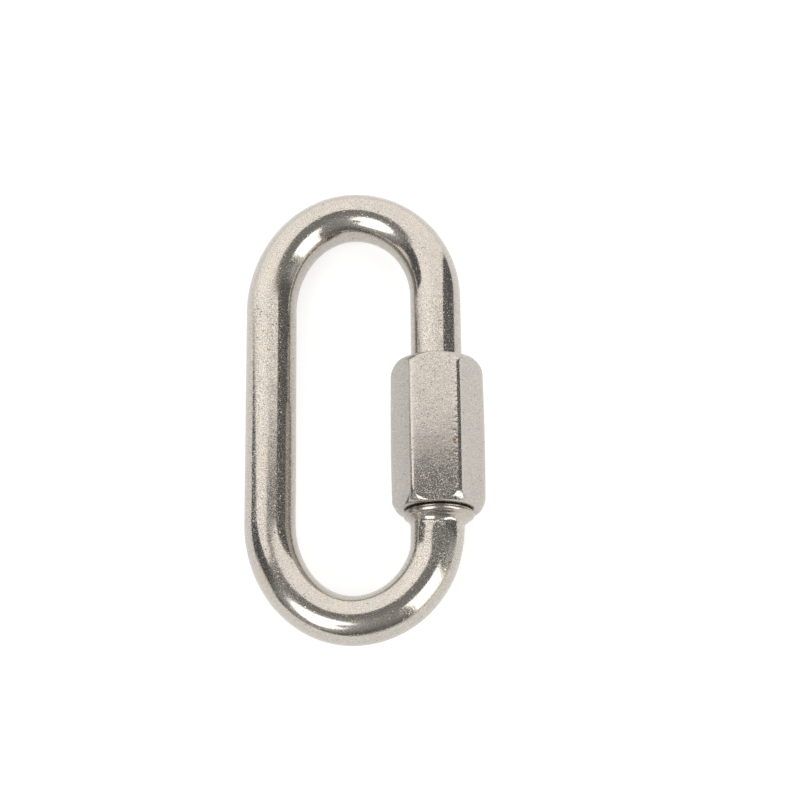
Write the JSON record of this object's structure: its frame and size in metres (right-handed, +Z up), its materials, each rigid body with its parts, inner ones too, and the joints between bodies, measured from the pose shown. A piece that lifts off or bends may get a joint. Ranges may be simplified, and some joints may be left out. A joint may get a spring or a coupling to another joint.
{
  "type": "chain quick link",
  "caption": "Oval steel connecting link with a hexagonal sleeve nut that screws along one limb to close or open its gate.",
  "frame": {"origin": "on the bench under the middle of the whole object, as it lies on one long edge of the nut and on the plain limb", "axes": "+Y along the link from the collar's end to the far end, +X from the plain limb towards the limb that carries the nut, +Z up from the bench"},
  "size_m": [0.0372, 0.0736, 0.0136],
  "materials": {
    "link_steel": "tumbled stainless steel, satin to glossy, with a fine sandy grain and small pits",
    "nut_steel": "tumbled stainless steel, satin, with a fine orange-peel grain, softened edges and a few small brown specks"
  },
  "bodies": {
    "link": {"link_body": "link_steel"},
    "nut": {"sleeve_nut": "nut_steel"}
  },
  "joints": [
    {"name": "nut_travel", "type": "slide", "parent": "link", "child": "nut", "axis": [0, 1, 0], "range_m": [0, 0.01125]}
  ]
}
